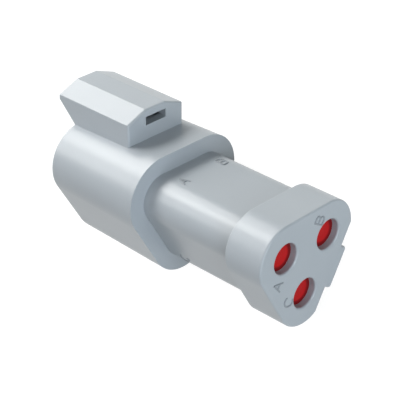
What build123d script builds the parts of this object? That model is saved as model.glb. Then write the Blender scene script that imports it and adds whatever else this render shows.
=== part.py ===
from build123d import *
import os
from math import atan, degrees, sqrt

# Sealed three-way in-line receptacle for vehicle wiring, with solid size 16 pin contacts.
# Millimetres. X is the mating axis, with the mouth of the shroud at X = 0 facing +X.
# The receptacle is modelled latch hood up, then laid on the flat B-C side that it rests on.
# A depth is measured from the mouth towards the wires. A section is drawn as seen from the wires:
# u to the right, v up through the latch hood, with the mating axis at u = v = 0.

# Contact axes, on an equilateral triangle with its point down, named anticlockwise from the right
CONTACT_PITCH = 9.28
CONTACT_NAMES = ("b", "a", "c")
FIRST_CONTACT_ANGLE = 30

# Contact: solid pin, collar, neck and crimp barrel
PIN_RADIUS = 0.79
PIN_LENGTH = 11.45
PIN_POINT = 0.8
PIN_POINT_RADIUS = 0.35
COLLAR_RADIUS = 1.27
COLLAR_LENGTH = 1.3
NECK_RADIUS = 0.95
NECK_LENGTH = 1.9
BARREL_RADIUS = 1.27
BARREL_LENGTH = 7.6
CONTACT_CHAMFER = 0.15
CRIMP_BORE_RADIUS = 0.85
CRIMP_BORE_DEPTH = 6.2
SIGHT_HOLE_RADIUS = 0.4
SIGHT_HOLE_FROM_BORE_END = 0.9

# Shroud round the mating cavity. A section's radius is measured from the contact axes at its corners.
MOUTH_RADIUS = 6.27
SHOULDER_RADIUS = 6.70
SHOULDER_RISE = 0.12
SHROUD_WALL = 1.3
CAVITY_DEPTH = 15.6
CAVITY_DRAFT = 0.15
SHOULDER_WALL = 2.7
MOUTH_CHAMFER = 0.3
MOUTH_ROUND = 0.25

# Latch hood on top of the shroud, with the catch for the mating half's latch
HOOD_OVERHANG = 3.3
HOOD_REAR = 12.25
HOOD_HALF_WIDTH = 5.81
HOOD_CREST_HALF_WIDTH = 2.03
HOOD_SIDE_HEIGHT = 4.0
HOOD_ROOF_RISE = 1.42
HOOD_WALL = 1.2
HOOD_REAR_WALL = 1.4
HOOD_BROW = 0.8
HOOD_REAR_ROUND = 0.35
HOOD_RIDGE_ROUND = 0.15
CATCH_WIDTH = 4.2
CATCH_DROP = 1.42
CATCH_DEPTH = 2.2
CATCH_RAMP = 2.2
CATCH_LAND = 1.2

# Cavities for the contacts
STOP_WALL = 1.85
STOP_CLEARANCE = 0.16
BORE_CLEARANCE = 0.13
BORE_PAST_CONTACT = 1.2
FUNNEL_LENGTH = 1.5
WIRE_PASSAGE_RADIUS = 1.9
WIRE_PASSAGE_LENGTH = 2.55

# Locking fingers, moulded between the contacts and the middle recess
FINGER_WIDTH = 2.2
FINGER_THICKNESS = 0.9
FINGER_SLOT = 0.4
FINGER_LENGTH = 7.15
HOOK_CLEARANCE = 0.1
HOOK_RAMP = 0.6

# Wedge lock, which holds the fingers shut
WEDGE_RADIUS = 2.9
WEDGE_THICKNESS = 4.0
WEDGE_ROUND = 0.4
WEDGE_PIN_CLEARANCE = 0.3
WEDGE_PAST_HOOKS = 1.35
WEDGE_LEG_CORNER = 3.6
WEDGE_LEG_CHAMFER = 0.5
WEDGE_CLEARANCE = 0.1
PULL_SLOT_LENGTH = 3.4
PULL_SLOT_WIDTH = 1.3
PULL_SLOT_DEPTH = 1.2
PULL_UNDERCUT_WIDTH = 2.4
PULL_UNDERCUT_DEPTH = 1.4

# Pocket for the wire seal, and the body's wall round it
POCKET_RADIUS = 2.95
POCKET_DEPTH = 8.35
BODY_WALL = 1.03

# Wire seal
SEAL_CLEARANCE = 0.05
SEAL_GROOVE = 0.45
SEAL_RIBS = 4
SEAL_RIB_SHARE = 0.55
SEAL_RIB_CHAMFER = 0.25
SEAL_SKIN = 0.4
SEAL_LIPS = 3
SEAL_LIP_RADIUS = 0.9
SEAL_LIP_LENGTH = 0.7
SEAL_CHAMBER_RADIUS = 1.5

# Rear cap, which snaps over the body and holds the wire seal in
CAP_LENGTH = 6.8
CAP_WALL = 1.42
CAP_FLAT_WALL = 0.74
CAP_END_WALL = 1.25
CAP_CLEARANCE = 0.05
CAP_REAR_ROUND = 0.35
CAP_FRONT_ROUND = 0.2
WIRE_HOLE_RADIUS = 2.4
WIRE_HOLE_ROUND = 0.35
KEY_WIDTH = 6.7
KEY_STANDS_OUT = 1.35
KEY_ROUND = 0.5
KEY_ANGLE = -30
BEAD_HEIGHT = 0.2
BEAD_WIDTH = 0.9
BEAD_FROM_BODY_END = 2.8
BEAD_SLACK = 0.1

# Turn about the mating axis that brings the B-C side to the bottom
LAY_ANGLE = 60

# Places worked out from the sizes, from the mouth to the rear face
CONTACT_CIRCLE = CONTACT_PITCH / sqrt(3)
CONTACT_ANGLES = [FIRST_CONTACT_ANGLE + 360 * turn / 3 for turn in range(3)]
SHROUD_LENGTH = CAVITY_DEPTH + SHOULDER_WALL
WEDGE_FACE = CAVITY_DEPTH - WEDGE_THICKNESS
CONTACT_SEAT = CAVITY_DEPTH + STOP_WALL
NECK_START = CONTACT_SEAT + COLLAR_LENGTH
BARREL_START = NECK_START + NECK_LENGTH
CONTACT_END = BARREL_START + BARREL_LENGTH
FINGER_TIP = NECK_START + HOOK_CLEARANCE
FINGER_ROOT = FINGER_TIP + FINGER_LENGTH
BORE_END = CONTACT_END + BORE_PAST_CONTACT
FUNNEL_END = BORE_END + FUNNEL_LENGTH
POCKET_FLOOR = FUNNEL_END + WIRE_PASSAGE_LENGTH
BODY_END = POCKET_FLOOR + POCKET_DEPTH
REAR_FACE = BODY_END + CAP_END_WALL

# Sections worked out from the sizes
STOP_RADIUS = PIN_RADIUS + STOP_CLEARANCE
BORE_RADIUS = BARREL_RADIUS + BORE_CLEARANCE
RECESS_FLAT = CONTACT_CIRCLE - BORE_RADIUS - FINGER_THICKNESS
BODY_RADIUS = POCKET_RADIUS + BODY_WALL
CAP_RADIUS = BODY_RADIUS + CAP_CLEARANCE + CAP_WALL
CAP_FLAT = CONTACT_CIRCLE / 2 + BODY_RADIUS + CAP_CLEARANCE + CAP_FLAT_WALL
MOUTH_TOP = CONTACT_CIRCLE / 2 + MOUTH_RADIUS
HOOD_EAVE = MOUTH_TOP + HOOD_SIDE_HEIGHT
HOOD_CREST = HOOD_EAVE + HOOD_ROOF_RISE
HOOD_CEILING = HOOD_CREST - HOOD_WALL
# The hood's walls are rooted in the middle of the shroud's wall
HOOD_FOOT = MOUTH_TOP - SHROUD_WALL / 2


def station(depth):
    """Section plane at a depth, seen from the wires, with its normal towards them."""
    return Plane(origin=(-depth, 0, 0), x_dir=(0, -1, 0), z_dir=(-1, 0, 0))


def slab(section, start, end):
    """Solid of one section between two depths."""
    return extrude(station(start) * section, amount=end - start)


def rounded_triangle(radius):
    """Triangle between the contact axes, grown by a radius with round corners."""
    corners = RegularPolygon(CONTACT_CIRCLE, 3, rotation=30)
    return offset(corners, radius, kind=Kind.ARC)


def on_contact(solid, angle):
    """Carries a solid from the mating axis to the contact at an angle in the section."""
    return Rot(-angle, 0, 0) * Pos(0, -CONTACT_CIRCLE, 0) * solid


def turned(profile, angle):
    """Solid of revolution from (depth, radius) points, on a contact's axis."""
    outline = Plane.XZ * Polygon(*[(-depth, radius) for depth, radius in profile], align=None)
    return on_contact(revolve(outline, axis=Axis.X), angle)


def hole(radius, start, end, angle):
    """Plain round hole on a contact's axis between two depths."""
    return turned([(start, 0), (start, radius), (end, radius), (end, 0)], angle)


def facing_contact(width, near, far, angle):
    """Rectangle across the line from the mating axis to a contact, between two distances."""
    return Rot(0, 0, angle) * Pos((near + far) / 2, 0) * Rectangle(far - near, width)


def six_sided(flat, corner):
    """Six-sided section: flats towards the contacts at one distance, cut corners at another."""
    point_up = RegularPolygon(flat, 3, major_radius=False, rotation=90)
    point_down = RegularPolygon(corner, 3, major_radius=False, rotation=30)
    return point_up & point_down


def taper(start_radius, end_radius, start, end):
    """Solid between two depths, whose rounded triangle changes evenly from one radius to another."""
    near = station(start) * rounded_triangle(start_radius)
    far = station(end) * rounded_triangle(end_radius)
    return loft([near, far], ruled=True)


def shroud():
    """Drafted shell that leans towards the hood's side, with the mating cavity in it."""
    # The drafted outside is made longer at both ends, leaned about the mouth, and cut to length
    spare = SHROUD_WALL
    draft = (SHOULDER_RADIUS - MOUTH_RADIUS) / SHROUD_LENGTH
    front_radius = MOUTH_RADIUS - draft * spare
    back_radius = SHOULDER_RADIUS + draft * spare
    outside = taper(front_radius, back_radius, -spare, SHROUD_LENGTH + spare)
    lean = degrees(atan(SHOULDER_RISE / SHROUD_LENGTH))
    room = 4 * SHOULDER_RADIUS
    outside = Rot(0, lean, 0) * outside & slab(Rectangle(room, room), 0, SHROUD_LENGTH)
    outside = fillet(outside.faces().sort_by(Axis.X)[-1].edges(), MOUTH_ROUND)
    cavity_radius = MOUTH_RADIUS - SHROUD_WALL
    cavity = taper(cavity_radius, cavity_radius - CAVITY_DRAFT, 0, CAVITY_DEPTH)
    lead_in = taper(cavity_radius + MOUTH_CHAMFER, cavity_radius, 0, MOUTH_CHAMFER)
    return outside - cavity - lead_in


def roof(half_width, eave, crest_half_width, crest, foot):
    """House-shaped section: upright walls, two slopes and a flat crest."""
    return Polygon(
        (-half_width, foot),
        (half_width, foot),
        (half_width, eave),
        (crest_half_width, crest),
        (-crest_half_width, crest),
        (-half_width, eave),
        align=None,
    )


def hood():
    """Latch hood: a roofed tunnel open to the front, with a slot through its rear and a catch inside."""
    outline = roof(HOOD_HALF_WIDTH, HOOD_EAVE, HOOD_CREST_HALF_WIDTH, HOOD_CREST, HOOD_FOOT)
    outside = slab(outline, -HOOD_OVERHANG, HOOD_REAR)
    rear_edges = outside.faces().sort_by(Axis.X)[0].edges().sort_by(Axis.Z)[1:]
    outside = fillet(rear_edges, HOOD_REAR_ROUND)
    ridges = outside.edges().filter_by(Axis.X)
    ridges = ridges.filter_by(lambda e: e.center().Z > HOOD_EAVE - HOOD_REAR_ROUND)
    outside = fillet(ridges, HOOD_RIDGE_ROUND)

    low_foot = HOOD_FOOT - 2 * HOOD_WALL
    tall = roof(HOOD_HALF_WIDTH, HOOD_EAVE, HOOD_CREST_HALF_WIDTH, HOOD_CREST, low_foot)
    tunnel = offset(tall, -HOOD_WALL, kind=Kind.INTERSECTION)
    tunnel = slab(tunnel, -HOOD_OVERHANG, HOOD_REAR - HOOD_REAR_WALL)

    slot = Pos(0, HOOD_CEILING - CATCH_DROP / 2) * Rectangle(CATCH_WIDTH, CATCH_DROP)
    slot = slab(slot, CATCH_DEPTH, HOOD_REAR)

    # The front leans back from a short upright brow down to the shroud's mouth
    brow = HOOD_EAVE - HOOD_BROW
    lean = Plane.XZ * Polygon(
        (HOOD_OVERHANG, brow), (0, MOUTH_TOP), (0, HOOD_FOOT), (HOOD_OVERHANG, HOOD_FOOT), align=None
    )
    lean = extrude(lean, amount=HOOD_HALF_WIDTH, both=True)

    ramp_end = CATCH_DEPTH + CATCH_RAMP
    catch = Plane.XZ * Polygon(
        (-CATCH_DEPTH, HOOD_CEILING),
        (-ramp_end, HOOD_CEILING - CATCH_DROP),
        (-ramp_end - CATCH_LAND, HOOD_CEILING - CATCH_DROP),
        (-ramp_end - CATCH_LAND, HOOD_CEILING + HOOD_WALL / 2),
        (-CATCH_DEPTH, HOOD_CEILING + HOOD_WALL / 2),
        align=None,
    )
    catch = extrude(catch, amount=CATCH_WIDTH / 2, both=True)
    return outside - tunnel - slot - lean + catch


def finger(angle):
    """Locking finger beside one contact: a beam with a hook that drops into the contact's neck."""
    section = facing_contact(FINGER_WIDTH, RECESS_FLAT, CONTACT_CIRCLE - NECK_RADIUS, angle)
    beam = slab(section, FINGER_TIP, FINGER_ROOT)
    hook_end = BARREL_START - HOOK_CLEARANCE
    hook_radius = NECK_RADIUS + HOOK_CLEARANCE
    room = turned(
        [
            (FINGER_TIP, 0),
            (FINGER_TIP, hook_radius),
            (hook_end - HOOK_RAMP, hook_radius),
            (hook_end, BORE_RADIUS),
            (FINGER_ROOT, BORE_RADIUS),
            (FINGER_ROOT, 0),
        ],
        angle,
    )
    return beam - room


def contact_cavity(angle):
    """Hole for one contact: pin hole, stepped bore, funnel and wire passage."""
    return turned(
        [
            (CAVITY_DEPTH, 0),
            (CAVITY_DEPTH, STOP_RADIUS),
            (CONTACT_SEAT, STOP_RADIUS),
            (CONTACT_SEAT, BORE_RADIUS),
            (BORE_END, BORE_RADIUS),
            (FUNNEL_END, WIRE_PASSAGE_RADIUS),
            (POCKET_FLOOR, WIRE_PASSAGE_RADIUS),
            (POCKET_FLOOR, 0),
        ],
        angle,
    )


def finger_room(angle):
    """Window between the middle recess and one contact's bore, in which the finger bends."""
    window = facing_contact(FINGER_WIDTH + 2 * FINGER_SLOT, RECESS_FLAT / 2, CONTACT_CIRCLE, angle)
    return slab(window, CONTACT_SEAT, FINGER_ROOT)


def bead(height, width):
    """Ring round the body with sloping flanks, where the rear cap snaps on."""
    middle = BODY_END - BEAD_FROM_BODY_END
    crest_radius = BODY_RADIUS + height
    rise = taper(BODY_RADIUS, crest_radius, middle - width / 2, middle)
    fall = taper(crest_radius, BODY_RADIUS, middle, middle + width / 2)
    return rise + fall


def housing():
    """The one grey moulding: shroud, latch hood, body, contact cavities and locking fingers."""
    body = slab(rounded_triangle(BODY_RADIUS), CAVITY_DEPTH, BODY_END)
    moulding = shroud() + body + bead(BEAD_HEIGHT, BEAD_WIDTH) + hood()
    moulding -= slab(rounded_triangle(POCKET_RADIUS), POCKET_FLOOR, BODY_END)
    recess = six_sided(RECESS_FLAT, WEDGE_LEG_CORNER + WEDGE_CLEARANCE)
    moulding -= slab(recess, CAVITY_DEPTH, FINGER_ROOT)
    for angle in CONTACT_ANGLES:
        moulding -= contact_cavity(angle)
        moulding -= finger_room(angle)
    for angle in CONTACT_ANGLES:
        moulding += finger(angle)
    return moulding


def contact(angle):
    """Solid turned pin contact with a crimp barrel and its sight hole, seated on the stop wall."""
    tip = CONTACT_SEAT - PIN_LENGTH
    bore_end = CONTACT_END - CRIMP_BORE_DEPTH
    edge = CONTACT_CHAMFER
    body = turned(
        [
            (tip, 0),
            (tip, PIN_POINT_RADIUS),
            (tip + PIN_POINT, PIN_RADIUS),
            (CONTACT_SEAT, PIN_RADIUS),
            (CONTACT_SEAT, COLLAR_RADIUS),
            (NECK_START, COLLAR_RADIUS),
            (NECK_START, NECK_RADIUS),
            (BARREL_START, NECK_RADIUS),
            (BARREL_START, BARREL_RADIUS - edge),
            (BARREL_START + edge, BARREL_RADIUS),
            (CONTACT_END - edge, BARREL_RADIUS),
            (CONTACT_END, BARREL_RADIUS - edge),
            (CONTACT_END, CRIMP_BORE_RADIUS),
            (bore_end, CRIMP_BORE_RADIUS),
            (bore_end - CRIMP_BORE_RADIUS / 2, 0),
        ],
        angle,
    )
    sight_depth = bore_end + SIGHT_HOLE_FROM_BORE_END
    sight_hole = Pos(-sight_depth, 0) * Circle(SIGHT_HOLE_RADIUS)
    sight_hole = extrude(sight_hole, amount=BARREL_RADIUS + edge)
    return body - on_contact(sight_hole, angle)


def wedge_lock():
    """Removable secondary lock: plate round the pins and a leg that blocks the fingers from behind."""
    plate = slab(rounded_triangle(WEDGE_RADIUS), WEDGE_FACE, CAVITY_DEPTH)
    plate = fillet(plate.faces().sort_by(Axis.X)[-1].edges(), WEDGE_ROUND)
    leg = six_sided(RECESS_FLAT - WEDGE_CLEARANCE, WEDGE_LEG_CORNER)
    leg = slab(leg, CAVITY_DEPTH, BARREL_START + WEDGE_PAST_HOOKS)
    leg = chamfer(leg.faces().sort_by(Axis.X)[0].edges(), WEDGE_LEG_CHAMFER)
    lock = plate + leg
    pin_hole_radius = PIN_RADIUS + WEDGE_PIN_CLEARANCE
    for angle in CONTACT_ANGLES:
        lock -= hole(pin_hole_radius, WEDGE_FACE, CAVITY_DEPTH, angle)
    slot_floor = WEDGE_FACE + PULL_SLOT_DEPTH
    lock -= slab(Rectangle(PULL_SLOT_LENGTH, PULL_SLOT_WIDTH), WEDGE_FACE, slot_floor)
    undercut_end = slot_floor + PULL_UNDERCUT_DEPTH
    lock -= slab(Rectangle(PULL_SLOT_LENGTH, PULL_UNDERCUT_WIDTH), slot_floor, undercut_end)
    return lock


def wire_seal():
    """Silicone seal in the pocket: ribs outside, and three wire bores that a skin closes at the rear."""
    rib_radius = POCKET_RADIUS - SEAL_CLEARANCE
    seal = slab(rounded_triangle(rib_radius - SEAL_GROOVE), POCKET_FLOOR, BODY_END)
    rib_pitch = POCKET_DEPTH / SEAL_RIBS
    rib_width = rib_pitch * SEAL_RIB_SHARE
    for rib in range(SEAL_RIBS):
        start = POCKET_FLOOR + rib_pitch * rib + (rib_pitch - rib_width) / 2
        ring = slab(rounded_triangle(rib_radius), start, start + rib_width)
        rims = ring.edges().group_by(Axis.X)
        seal += chamfer(rims[0] + rims[-1], SEAL_RIB_CHAMFER)
    for angle in CONTACT_ANGLES:
        seal -= wire_bore(angle)
    return seal


def wire_bore(angle):
    """Bore for one wire, from the seal's inner end to its rear skin, with lips between wider chambers."""
    inner_end = BODY_END - SEAL_SKIN
    lip_pitch = (inner_end - POCKET_FLOOR) / SEAL_LIPS
    profile = [(POCKET_FLOOR, 0)]
    for lip in range(SEAL_LIPS):
        chamber = POCKET_FLOOR + lip_pitch * lip
        lip_start = chamber + lip_pitch - SEAL_LIP_LENGTH
        profile += [(chamber, SEAL_CHAMBER_RADIUS), (lip_start, SEAL_CHAMBER_RADIUS)]
        profile += [(lip_start, SEAL_LIP_RADIUS), (chamber + lip_pitch, SEAL_LIP_RADIUS)]
    profile += [(inner_end, 0)]
    return turned(profile, angle)


def rear_cap():
    """Cap over the body's end: three wire holes, and a key block on the B-C side, which is cut flat."""
    past_flat = facing_contact(4 * CAP_RADIUS, CAP_FLAT, CAP_FLAT + CAP_RADIUS, KEY_ANGLE)
    key = facing_contact(KEY_WIDTH, CAP_FLAT / 2, CAP_FLAT + KEY_STANDS_OUT, KEY_ANGLE)
    outer_corners = key.vertices().sort_by_distance((0, 0))[-2:]
    key = fillet(outer_corners, KEY_ROUND)
    cap_front = REAR_FACE - CAP_LENGTH
    cap = slab(rounded_triangle(CAP_RADIUS) - past_flat + key, cap_front, REAR_FACE)
    cap = fillet(cap.faces().sort_by(Axis.X)[0].edges(), CAP_REAR_ROUND)
    cap = fillet(cap.faces().sort_by(Axis.X)[-1].edges(), CAP_FRONT_ROUND)
    cap -= slab(rounded_triangle(BODY_RADIUS + CAP_CLEARANCE), cap_front, BODY_END)
    cap -= bead(BEAD_HEIGHT + BEAD_SLACK, BEAD_WIDTH + 2 * BEAD_SLACK)
    for angle in CONTACT_ANGLES:
        cap -= hole(WIRE_HOLE_RADIUS, BODY_END, REAR_FACE, angle)
    mouths = cap.faces().sort_by(Axis.X)[0].edges().filter_by(GeomType.CIRCLE)
    mouths = mouths.filter_by(lambda e: abs(e.radius - WIRE_HOLE_RADIUS) < WIRE_HOLE_ROUND)
    return fillet(mouths, WIRE_HOLE_ROUND)


def nodes():
    """Every separate piece by name, latch hood up."""
    pieces = {
        "housing": housing(),
        "rear_cap": rear_cap(),
        "wire_seal": wire_seal(),
        "wedge_lock": wedge_lock(),
    }
    for name, angle in zip(CONTACT_NAMES, CONTACT_ANGLES):
        pieces["pin_contact_" + name] = contact(angle)
    return pieces


os.makedirs("parts", exist_ok=True)
for name, piece in nodes().items():
    export_step(Rot(LAY_ANGLE, 0, 0) * piece, "parts/" + name + ".step")
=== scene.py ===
# Sealed three-way in-line receptacle, dressed: finishes, raised cavity letters, studio and camera.
# Metres, in the model's own frame: X along the mating axis with the mouth of the shroud at X = 0.
import math
import bpy
from mathutils import Matrix, Vector
from mathutils.bvhtree import BVHTree


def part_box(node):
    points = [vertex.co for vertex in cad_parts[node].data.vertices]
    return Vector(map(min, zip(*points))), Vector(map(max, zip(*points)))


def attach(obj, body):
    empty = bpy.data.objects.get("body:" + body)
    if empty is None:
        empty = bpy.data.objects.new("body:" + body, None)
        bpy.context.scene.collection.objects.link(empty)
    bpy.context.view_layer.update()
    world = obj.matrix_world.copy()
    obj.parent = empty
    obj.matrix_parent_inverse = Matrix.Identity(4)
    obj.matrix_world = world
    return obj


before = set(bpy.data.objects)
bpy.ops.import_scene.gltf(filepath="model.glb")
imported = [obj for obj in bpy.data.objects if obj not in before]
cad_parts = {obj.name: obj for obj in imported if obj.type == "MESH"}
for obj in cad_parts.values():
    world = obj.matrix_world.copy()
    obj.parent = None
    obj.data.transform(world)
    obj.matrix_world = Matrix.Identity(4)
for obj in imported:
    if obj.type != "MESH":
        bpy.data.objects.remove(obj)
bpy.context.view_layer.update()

MM = 0.001

# The receptacle's own section, seen from the wires: U to the right, V up through the latch hood,
# turned so that the receptacle lies on its flat B-C side
LAY_ANGLE = math.radians(60)
U = Vector((0, -math.cos(LAY_ANGLE), -math.sin(LAY_ANGLE)))
V = Vector((0, -math.sin(LAY_ANGLE), math.cos(LAY_ANGLE)))
TO_MATE = Vector((1, 0, 0))

# Axes of the three wire bores in the section, by their turn from U
BORE_CIRCLE = 5.358
WIRE_BORES = [
    (BORE_CIRCLE * math.cos(math.radians(turn)), BORE_CIRCLE * math.sin(math.radians(turn)))
    for turn in (30, 150, 270)
]
# Distances from a bore's axis: the seal's red has no painted shade within the first and its full painted shade past
# the second, towards the hole's wall
PAINTED_SHADE_START = 1.5 * MM
PAINTED_SHADE_FULL = 2.0 * MM

# Raised cavity letters: flat-topped strokes with sloping sides, as an engraver's cutter leaves them in the mould.
# They start a little inside the face.
STROKE_FOOT = 0.34 * MM
STROKE_TOP = 0.18 * MM
STROKE_SINK = 0.06 * MM
# Strokes that meet differ in height by a hair, so that no two of their tops lie in one plane
STROKE_LIFT = 0.004 * MM
# Longest piece of a stroke, as a share of the letter's height
STROKE_STEP = 0.12
# A letter's face is looked for from this far out
FACE_REACH = 5 * MM

# Letters beside the wire holes: depth of the rear face behind the mouth, and their middles in the section
REAR_FACE = 43.1
REAR_HEIGHT = 1.85 * MM
REAR_RELIEF = 0.12 * MM
REAR_LETTERS = {"A": (-6.27, -1.22), "B": (2.48, 6.0), "C": (-3.78, -5.14)}

# Letters on the body, close to the shoulder. A and B stand on the flat under the hood's side: its height in the
# section, and the letters' places across it and depths behind the mouth
BODY_HEIGHT = 1.7 * MM
BODY_RELIEF = 0.11 * MM
BODY_FLAT = 6.66
FLAT_LETTERS = {"A": (-3.88, 22.04), "B": (4.5, 22.02)}
# C stands on the corner round its contact: middle and radius of the corner, the letter's turn from U and its depth
CORNER_MIDDLE = (0, -5.36)
CORNER_RADIUS = 3.98
CORNER_TURN = math.radians(-153)
CORNER_DEPTH = 22.05

# Floor, in metres, and how brightly it glows where it is seen: its shaded grey makes up the rest of the white
FLOOR_SIZE = 4
FLOOR_GLOW = 0.92
# The background's white where it is seen, and the light that it gives to shaded sides
BACKDROP_WHITE = 1
FILL_LIGHT = 0.03
WHITE = "#FFFFFF"

# Round softboxes, all at one distance from the receptacle's middle: name, azimuth from the mouth's side, elevation,
# watts and colour
SOFTBOX_AIM = Vector((-20, 0, 0)) * MM
SOFTBOX_DISTANCE = 500 * MM
SOFTBOX_SIZE = 220 * MM
WARM_WHITE = "#FFFEFB"
DAYLIGHT = "#F2F9FF"
SOFTBOXES = [
    ("key_high", 319, 38, 1.36, WARM_WHITE),
    ("key_low", 313, 15, 0.84, WARM_WHITE),
    ("mouth_side", 345, 17, 0.64, WARM_WHITE),
    ("mouth_side_high", 355, 46, 0.66, WARM_WHITE),
    ("overhead", 0, 90, 0.38, WARM_WHITE),
    ("overhead_back", 72, 66, 0.26, WARM_WHITE),
    ("edge", 150, 17, 0.58, DAYLIGHT),
    ("wire_side", 180, 17, 1.08, DAYLIGHT),
    ("wire_side_high", 180, 40, 0.36, DAYLIGHT),
    ("wire_side_front", 210, 17, 0.2, DAYLIGHT),
]

# Camera: from behind and above, as the photograph's outlines give it. Lens and sensor are in millimetres.
CAMERA_PLACE = Vector((-150.1, -28.7, 171.0)) * MM
CAMERA_AIM = Vector((-21.5, 0, 0)) * MM
CAMERA_UP = Vector((0.359, -0.926, 0.114))
CAMERA_LENS = 126.9
CAMERA_SENSOR = 36
CAMERA_SHIFT = (0.0026, 0.0219)
CAMERA_NEAR = 10 * MM


def place(u, v, depth):
    """Point of the model from section millimetres and a depth behind the shroud's mouth."""
    return (U * u + V * v - TO_MATE * depth) * MM


def linear(hex_colour):
    """Linear colour of an sRGB hex value."""
    channels = [int(hex_colour[i:i + 2], 16) / 255 for i in (1, 3, 5)]
    return [c / 12.92 if c <= 0.04045 else ((c + 0.055) / 1.055) ** 2.4 for c in channels] + [1]


def per(millimetres):
    """Texture scale whose pattern repeats about every so many millimetres."""
    return 1 / (millimetres * MM)


def add(tree, kind, inputs=(), **settings):
    """Adds a node of a kind, with its settings, and its inputs as values or as links from sockets."""
    node = tree.nodes.new(kind)
    for name, value in settings.items():
        setattr(node, name, value)
    for name, value in dict(inputs).items():
        if isinstance(value, bpy.types.NodeSocket):
            tree.links.new(value, node.inputs[name])
        else:
            node.inputs[name].default_value = value
    return node


def new_material(name):
    """Empty node material, with its output."""
    material = bpy.data.materials.new(name)
    material.use_nodes = True
    tree = material.node_tree
    tree.nodes.clear()
    return material, tree, tree.nodes.new("ShaderNodeOutputMaterial")


def moulded_thermoplastic(name, light, dark, smooth, rough):
    """Moulded thermoplastic: slow drift of colour from the melt's flow, and the mould's fine satin grain."""
    # The melt flows in streaks about half as wide as the part
    streak_width = 9
    # The grain of the spark-eroded mould is 0.05 mm, too fine to show, so it is drawn at 0.3 mm
    grain_width = 0.3
    material, tree, output = new_material(name)
    here = add(tree, "ShaderNodeTexCoord").outputs["Object"]
    flow = add(tree, "ShaderNodeTexNoise", {"Vector": here, "Scale": per(streak_width), "Detail": 2})
    grain = add(tree, "ShaderNodeTexNoise", {"Vector": here, "Scale": per(grain_width), "Detail": 3})
    speck = add(tree, "ShaderNodeMix", {
        "Factor": 0.25,
        "A": flow.outputs["Fac"],
        "B": grain.outputs["Fac"],
    })
    colour = add(tree, "ShaderNodeMix", {
        "Factor": speck.outputs["Result"],
        "A": linear(dark),
        "B": linear(light),
    }, data_type="RGBA")
    gloss = add(tree, "ShaderNodeMapRange", {
        "Value": grain.outputs["Fac"],
        "To Min": smooth,
        "To Max": rough,
    })
    relief = add(tree, "ShaderNodeBump", {
        "Height": grain.outputs["Fac"],
        "Strength": 0.5,
        "Distance": 0.006 * MM,
    })
    surface = add(tree, "ShaderNodeBsdfPrincipled", {
        "Base Color": colour.outputs["Result"],
        "Roughness": gloss.outputs["Result"],
        "Normal": relief.outputs["Normal"],
        "IOR": 1.52,
    })
    tree.links.new(surface.outputs["BSDF"], output.inputs["Surface"])
    return material


def moulded_silicone(name, light, dark, painted_shade_red, smooth, rough):
    """Silicone rubber, compression moulded: soft sheen, slightly cloudy, and a painted shade of deeper red towards
    the wall round each wire bore.
    """
    # The pigment's clouds
    cloud_width = 2.5
    # The mould leaves a texture of about 0.1 mm on the rubber, too fine to show, so it is drawn at 0.35 mm
    texture_width = 0.35
    material, tree, output = new_material(name)
    here = add(tree, "ShaderNodeTexCoord").outputs["Object"]
    cloud = add(tree, "ShaderNodeTexNoise", {"Vector": here, "Scale": per(cloud_width), "Detail": 3})
    texture = add(tree, "ShaderNodeTexNoise", {"Vector": here, "Scale": per(texture_width), "Detail": 2})
    colour = add(tree, "ShaderNodeMix", {
        "Factor": cloud.outputs["Fac"],
        "A": linear(dark),
        "B": linear(light),
    }, data_type="RGBA")
    # Painted shade: the red is painted deeper away from each wire bore's axis, towards the hole's wall
    across = add(tree, "ShaderNodeVectorMath", {0: here, 1: (0, 1, 1)}, operation="MULTIPLY").outputs[0]
    nearest = None
    for u, v in WIRE_BORES:
        away = add(tree, "ShaderNodeVectorMath", {0: across, 1: place(u, v, 0)}, operation="DISTANCE")
        if nearest:
            away = add(tree, "ShaderNodeMath", {0: nearest, 1: away.outputs["Value"]}, operation="MINIMUM")
        nearest = away.outputs["Value"]
    painted_shade = add(tree, "ShaderNodeMapRange", {
        "Value": nearest,
        "From Min": PAINTED_SHADE_START,
        "From Max": PAINTED_SHADE_FULL,
    }, interpolation_type="SMOOTHSTEP")
    red = add(tree, "ShaderNodeMix", {
        "Factor": painted_shade.outputs["Result"],
        "A": colour.outputs["Result"],
        "B": linear(painted_shade_red),
    }, data_type="RGBA")
    gloss = add(tree, "ShaderNodeMapRange", {
        "Value": texture.outputs["Fac"],
        "To Min": smooth,
        "To Max": rough,
    })
    relief = add(tree, "ShaderNodeBump", {
        "Height": texture.outputs["Fac"],
        "Strength": 0.6,
        "Distance": 0.01 * MM,
    })
    surface = add(tree, "ShaderNodeBsdfPrincipled", {
        "Base Color": red.outputs["Result"],
        "Roughness": gloss.outputs["Result"],
        "Normal": relief.outputs["Normal"],
        "IOR": 1.41,
        "Specular IOR Level": 0.2,
    })
    tree.links.new(surface.outputs["BSDF"], output.inputs["Surface"])
    return material


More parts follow.
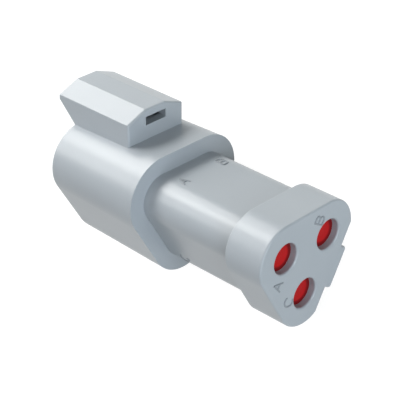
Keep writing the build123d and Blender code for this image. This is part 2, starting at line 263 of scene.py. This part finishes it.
def nickel_plate(name, light, dark, smooth, rough):
    """Copper alloy, turned and nickel plated: bright metal with fine rings from the lathe's feed."""
    # The feed is 0.05 mm a turn, too fine to show, so the rings are drawn 0.2 mm apart
    ring_pitch = 0.2
    # At a scale of 1, the wave texture repeats every tau / 20
    wave_repeat = math.tau / 20
    # The plating's uneven sheen
    stain_width = 1.5
    material, tree, output = new_material(name)
    here = add(tree, "ShaderNodeTexCoord").outputs["Object"]
    rings = add(tree, "ShaderNodeTexWave", {
        "Vector": here,
        "Scale": per(ring_pitch) * wave_repeat,
        "Distortion": 0.4,
    })
    stain = add(tree, "ShaderNodeTexNoise", {"Vector": here, "Scale": per(stain_width), "Detail": 3})
    colour = add(tree, "ShaderNodeMix", {
        "Factor": stain.outputs["Fac"],
        "A": linear(dark),
        "B": linear(light),
    }, data_type="RGBA")
    gloss = add(tree, "ShaderNodeMapRange", {
        "Value": stain.outputs["Fac"],
        "To Min": smooth,
        "To Max": rough,
    })
    relief = add(tree, "ShaderNodeBump", {
        "Height": rings.outputs["Fac"],
        "Strength": 0.3,
        "Distance": 0.004 * MM,
    })
    surface = add(tree, "ShaderNodeBsdfPrincipled", {
        "Base Color": colour.outputs["Result"],
        "Metallic": 1,
        "Roughness": gloss.outputs["Result"],
        "Normal": relief.outputs["Normal"],
    })
    tree.links.new(surface.outputs["BSDF"], output.inputs["Surface"])
    return material


GREY_THERMOPLASTIC = moulded_thermoplastic(
    "glass_filled_thermoplastic_grey", light="#A6ADB3", dark="#9CA3AA", smooth=0.29, rough=0.39,
)
# The letters are cut into the mould by spark erosion and left rough; their grey is also painted darker than the
# face's, as painted shade along the strokes
GREY_LETTERING_PAINTED_SHADE = moulded_thermoplastic(
    "glass_filled_thermoplastic_grey_as_cut_painted_shade", light="#8D9399", dark="#83898F", smooth=0.50, rough=0.60,
)
ORANGE_THERMOPLASTIC = moulded_thermoplastic(
    "thermoplastic_orange", light="#E9782B", dark="#DB6A20", smooth=0.34, rough=0.46,
)
# The seal's deeper red round each wire bore is painted shade
RED_SILICONE = moulded_silicone(
    "silicone_rubber_red", light="#B9171A", dark="#A21013", painted_shade_red="#6E090D", smooth=0.42, rough=0.58,
)
NICKEL_PLATE = nickel_plate(
    "nickel_plated_copper_alloy", light="#D3CDC0", dark="#C2BBAD", smooth=0.18, rough=0.34,
)

FINISHES = {
    "housing": GREY_THERMOPLASTIC,
    "rear_cap": GREY_THERMOPLASTIC,
    "wire_seal": RED_SILICONE,
    "wedge_lock": ORANGE_THERMOPLASTIC,
    "pin_contact_a": NICKEL_PLATE,
    "pin_contact_b": NICKEL_PLATE,
    "pin_contact_c": NICKEL_PLATE,
}
for node, finish in FINISHES.items():
    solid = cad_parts[node]
    solid.data.materials.clear()
    solid.data.materials.append(finish)


def bow(centre, radii, start, end, steps=14):
    """Points of an elliptical arc between two angles, in degrees."""
    angles = [math.radians(start + (end - start) * i / steps) for i in range(steps + 1)]
    return [(centre[0] + radii[0] * math.cos(a), centre[1] + radii[1] * math.sin(a)) for a in angles]


# Strokes of the plain cavity letters, in a box one high
STROKES = {
    "A": [
        [(-0.37, -0.5), (0, 0.5)],
        [(0.37, -0.5), (0, 0.5)],
        [(-0.24, -0.15), (0.24, -0.15)],
    ],
    "B": [
        [(-0.33, -0.5), (-0.33, 0.5)],
        [(-0.33, 0.5)] + bow((0.08, 0.26), (0.22, 0.24), 90, -90) + [(-0.33, 0.02)],
        bow((0.10, -0.24), (0.26, 0.26), 90, -90) + [(-0.33, -0.5)],
    ],
    "C": [bow((0.06, 0), (0.42, 0.5), 48, 312, 24)],
}


def even(points, step):
    """The points of a stroke with more between them, so that it can follow a curved face."""
    made = [Vector(points[0])]
    for point in points[1:]:
        start = made[-1]
        gap = Vector(point) - start
        pieces = max(1, math.ceil(gap.length / step))
        made += [start + gap * (i + 1) / pieces for i in range(pieces)]
    return made


def raised_stroke_tree():
    """Geometry Nodes: a flat-topped ridge along each stroke of a letter, its top towards the outward way."""
    tree = bpy.data.node_groups.new("raised_strokes", "GeometryNodeTree")
    inputs = {
        "Strokes": "NodeSocketGeometry",
        "Outward": "NodeSocketVector",
        "Foot width": "NodeSocketFloat",
        "Top width": "NodeSocketFloat",
        "Height": "NodeSocketFloat",
        "Finish": "NodeSocketMaterial",
    }
    for name, kind in inputs.items():
        tree.interface.new_socket(name, in_out="INPUT", socket_type=kind)
    tree.interface.new_socket("Letters", in_out="OUTPUT", socket_type="NodeSocketGeometry")
    given = add(tree, "NodeGroupInput").outputs
    section = add(tree, "GeometryNodeCurvePrimitiveQuadrilateral", {
        "Height": given["Height"],
        "Bottom Width": given["Foot width"],
        "Top Width": given["Top width"],
        "Offset": 0,
    }, mode="TRAPEZOID")
    # Curve to Mesh lays the section's X along the stroke's normal, so the section's top is turned there
    turned = add(tree, "GeometryNodeTransform", {
        "Geometry": section.outputs["Curve"],
        "Rotation": (0, 0, -math.pi / 2),
    })
    upright = add(tree, "GeometryNodeSetCurveNormal", {
        "Curve": given["Strokes"],
        "Normal": given["Outward"],
    }, mode="FREE")
    ridge = add(tree, "GeometryNodeCurveToMesh", {
        "Curve": upright.outputs["Curve"],
        "Profile Curve": turned.outputs["Geometry"],
        "Fill Caps": True,
    })
    real = add(tree, "GeometryNodeRealizeInstances", {"Geometry": ridge.outputs["Mesh"]})
    finished = add(tree, "GeometryNodeSetMaterial", {
        "Geometry": real.outputs["Geometry"],
        "Material": given["Finish"],
    })
    add(tree, "NodeGroupOutput", {"Letters": finished.outputs["Geometry"]})
    return tree


RAISED_STROKES = raised_stroke_tree()


def set_input(modifier, name, value):
    """Sets a Geometry Nodes modifier's input by its name on the tree."""
    sockets = modifier.node_group.interface.items_tree
    socket = next(s for s in sockets if s.name == name and s.in_out == "INPUT")
    modifier[socket.identifier] = value


def raised_letters(name, node, reading, up, outward, height, relief, letters):
    """Raises letters on a node's face, each round its middle, from the ways they read, stand up and stand out."""
    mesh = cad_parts[node].data
    faces = BVHTree.FromPolygons([v.co for v in mesh.vertices], [p.vertices for p in mesh.polygons])
    curve = bpy.data.curves.new(name, "CURVE")
    curve.dimensions = "3D"
    for letter, middle in letters.items():
        for order, stroke in enumerate(STROKES[letter]):
            # The ridge's section has its middle on the stroke
            rise = (relief - STROKE_SINK) / 2 + order * STROKE_LIFT
            points = []
            for x, y in even(stroke, STROKE_STEP):
                over = middle + (reading * x + up * y) * height + outward * FACE_REACH
                touch = faces.ray_cast(over, -outward)[0]
                points.append(touch + outward * rise)
            spline = curve.splines.new("POLY")
            spline.points.add(len(points) - 1)
            for spot, point in zip(spline.points, points):
                spot.co = (*point, 1)
    strokes = bpy.data.objects.new(name + "_strokes", curve)
    bpy.context.scene.collection.objects.link(strokes)
    ridges = strokes.modifiers.new("ridges", "NODES")
    ridges.node_group = RAISED_STROKES
    set_input(ridges, "Outward", outward)
    set_input(ridges, "Foot width", STROKE_FOOT)
    set_input(ridges, "Top width", STROKE_TOP)
    set_input(ridges, "Height", relief + STROKE_SINK)
    # The strokes' darker grey is painted shade
    set_input(ridges, "Finish", GREY_LETTERING_PAINTED_SHADE)
    bpy.context.view_layer.update()
    made = strokes.evaluated_get(bpy.context.evaluated_depsgraph_get())
    piece = bpy.data.objects.new(name, bpy.data.meshes.new_from_object(made))
    bpy.context.scene.collection.objects.link(piece)
    bpy.data.objects.remove(strokes)
    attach(piece, "receptacle")


# Rear face: each letter beside its wire hole, read with the receptacle as it lies
raised_letters(
    "rear_letters", "rear_cap",
    reading=Vector((0, -1, 0)), up=Vector((0, 0, 1)), outward=-TO_MATE,
    height=REAR_HEIGHT, relief=REAR_RELIEF,
    letters={letter: place(u, v, REAR_FACE) for letter, (u, v) in REAR_LETTERS.items()},
)

# Body: A and B on the flat
raised_letters(
    "body_letters_a_b", "housing",
    reading=U, up=TO_MATE, outward=V,
    height=BODY_HEIGHT, relief=BODY_RELIEF,
    letters={letter: place(u, BODY_FLAT, depth) for letter, (u, depth) in FLAT_LETTERS.items()},
)

# Body: C on the corner
CORNER_OUT = U * math.cos(CORNER_TURN) + V * math.sin(CORNER_TURN)
raised_letters(
    "body_letter_c", "housing",
    reading=TO_MATE.cross(CORNER_OUT), up=TO_MATE, outward=CORNER_OUT,
    height=BODY_HEIGHT, relief=BODY_RELIEF,
    letters={"C": place(*CORNER_MIDDLE, CORNER_DEPTH) + CORNER_OUT * CORNER_RADIUS * MM},
)


def where_seen(tree, lighting, seen):
    """Shader that gives light as one and looks like the other, straight on, mirrored or through something clear."""
    ray = add(tree, "ShaderNodeLightPath").outputs
    direct = add(tree, "ShaderNodeMath", {
        0: ray["Is Camera Ray"],
        1: ray["Is Glossy Ray"],
    }, operation="MAXIMUM")
    any_way = add(tree, "ShaderNodeMath", {
        0: direct.outputs[0],
        1: ray["Is Transmission Ray"],
    }, operation="MAXIMUM")
    return add(tree, "ShaderNodeMixShader", {
        0: any_way.outputs[0],
        1: lighting.outputs[0],
        2: seen.outputs[0],
    }).outputs[0]


# Floor: white to the camera and in reflections, with the receptacle's soft shadow on it
lowest = min(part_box(node)[0].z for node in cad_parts)
bpy.ops.mesh.primitive_plane_add(size=FLOOR_SIZE, location=(0, 0, lowest))
floor = bpy.context.object
floor.name = "floor"
paper, tree, output = new_material("pale_paper")
plain = add(tree, "ShaderNodeBsdfDiffuse", {"Color": linear("#888E88")})
shaded = add(tree, "ShaderNodeBsdfDiffuse", {"Color": linear("#787878")})
glow = add(tree, "ShaderNodeEmission", {"Color": linear(WHITE), "Strength": FLOOR_GLOW})
white = add(tree, "ShaderNodeAddShader", {0: shaded.outputs[0], 1: glow.outputs[0]})
tree.links.new(where_seen(tree, plain, white), output.inputs["Surface"])
floor.data.materials.append(paper)

# Background: white where it is seen, soft fill where it lights
world = bpy.data.worlds.new("studio")
bpy.context.scene.world = world
world.use_nodes = True
tree = world.node_tree
tree.nodes.clear()
fill = add(tree, "ShaderNodeBackground", {"Color": linear("#F4F7FA"), "Strength": FILL_LIGHT})
white = add(tree, "ShaderNodeBackground", {"Color": linear(WHITE), "Strength": BACKDROP_WHITE})
add(tree, "ShaderNodeOutputWorld", {"Surface": where_seen(tree, fill, white)})

for name, azimuth, elevation, power, colour in SOFTBOXES:
    lamp = bpy.data.lights.new(name, "AREA")
    lamp.shape = "DISK"
    lamp.size = SOFTBOX_SIZE
    lamp.energy = power
    lamp.color = linear(colour)[:3]
    box = bpy.data.objects.new(name, lamp)
    bpy.context.scene.collection.objects.link(box)
    turn, rise = math.radians(azimuth), math.radians(elevation)
    way = Vector((math.cos(turn) * math.cos(rise), math.sin(turn) * math.cos(rise), math.sin(rise)))
    box.location = SOFTBOX_AIM + way * SOFTBOX_DISTANCE
    box.rotation_euler = way.to_track_quat("Z", "Y").to_euler()

lens = bpy.data.cameras.new("camera")
lens.lens = CAMERA_LENS
lens.sensor_width = CAMERA_SENSOR
lens.shift_x, lens.shift_y = CAMERA_SHIFT
lens.clip_start = CAMERA_NEAR
camera = bpy.data.objects.new("camera", lens)
bpy.context.scene.collection.objects.link(camera)
back = (CAMERA_PLACE - CAMERA_AIM).normalized()
right = CAMERA_UP.cross(back).normalized()
facing = Matrix((right, back.cross(right), back)).transposed()
camera.matrix_world = Matrix.Translation(CAMERA_PLACE) @ facing.to_4x4()
bpy.context.scene.camera = camera
bpy.context.scene.view_settings.view_transform = "Standard"
